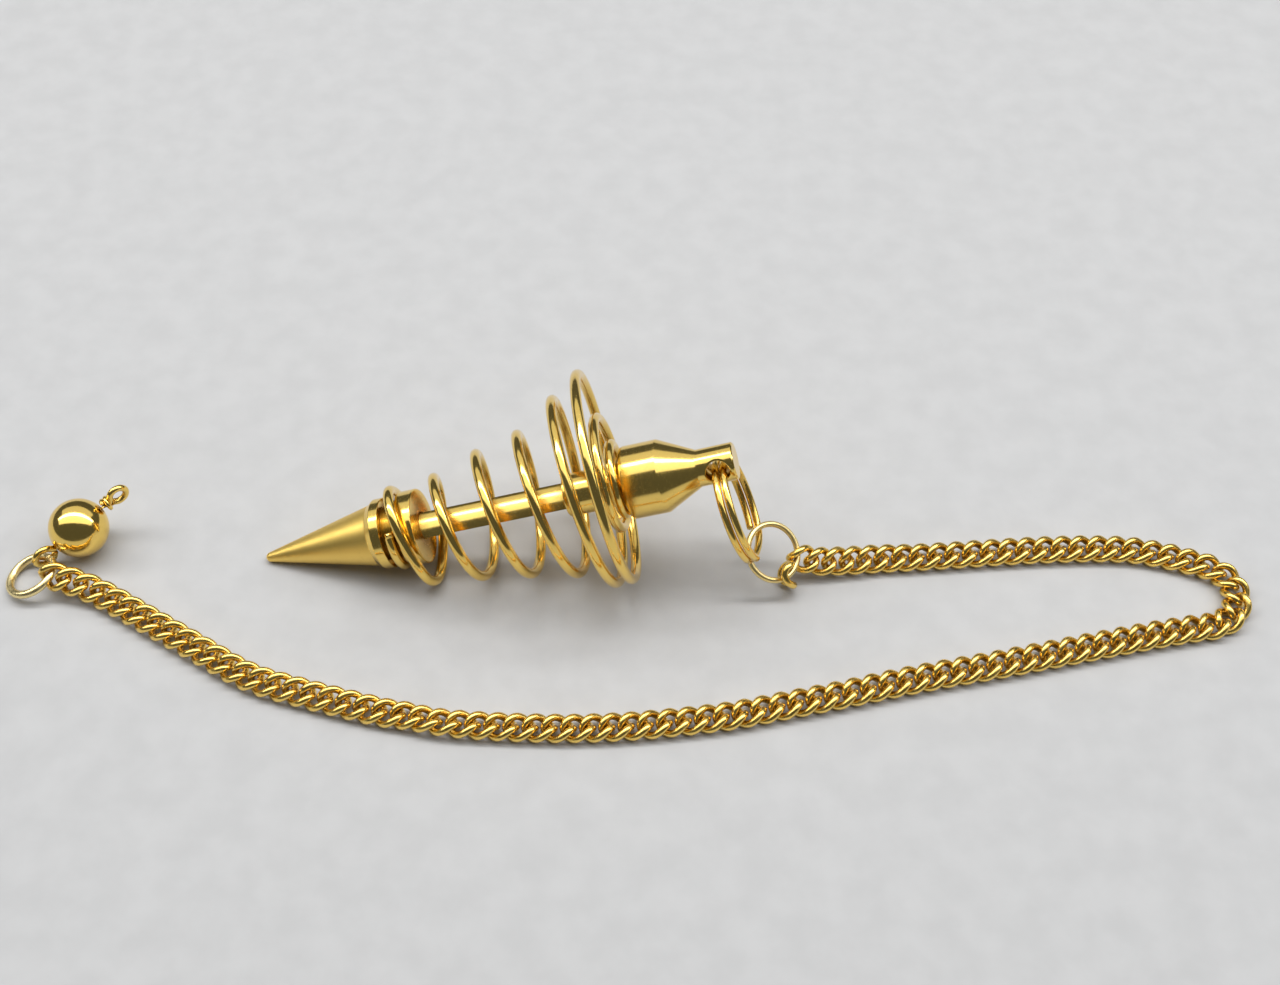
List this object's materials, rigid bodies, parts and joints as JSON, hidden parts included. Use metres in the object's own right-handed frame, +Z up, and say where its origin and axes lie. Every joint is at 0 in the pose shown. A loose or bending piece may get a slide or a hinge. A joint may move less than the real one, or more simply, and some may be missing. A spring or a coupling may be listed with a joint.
{
  "type": "pendulum pendant",
  "caption": "Turned brass pendulum with a wire spiral round its rod, on split and jump rings and a curb chain that ends in a ring and a drilled ball.",
  "frame": {"origin": "middle of the bounding box on the surface that the pendant lies on", "axes": "+Z up from the surface; +X to the right in the picture, from the pendulum's point to its head and on to the bend of the chain; +Y away from the picture's camera"},
  "size_m": [0.1205, 0.0333, 0.0209],
  "materials": {
    "turned_brass": "polished gold-coloured brass, turned, light handling wear",
    "wire_brass": "polished gold-coloured wire",
    "chain_brass": "bright polished gold-coloured links"
  },
  "bodies": {
    "root": {"tip_cone": "turned_brass", "core_rod": "turned_brass", "spiral_wire": "wire_brass", "head": "turned_brass", "split_ring": "wire_brass", "jump_ring": "wire_brass", "chain": "chain_brass", "end_ring": "wire_brass", "ball": "turned_brass", "ball_eye_pin": "wire_brass"}
  },
  "joints": []
}
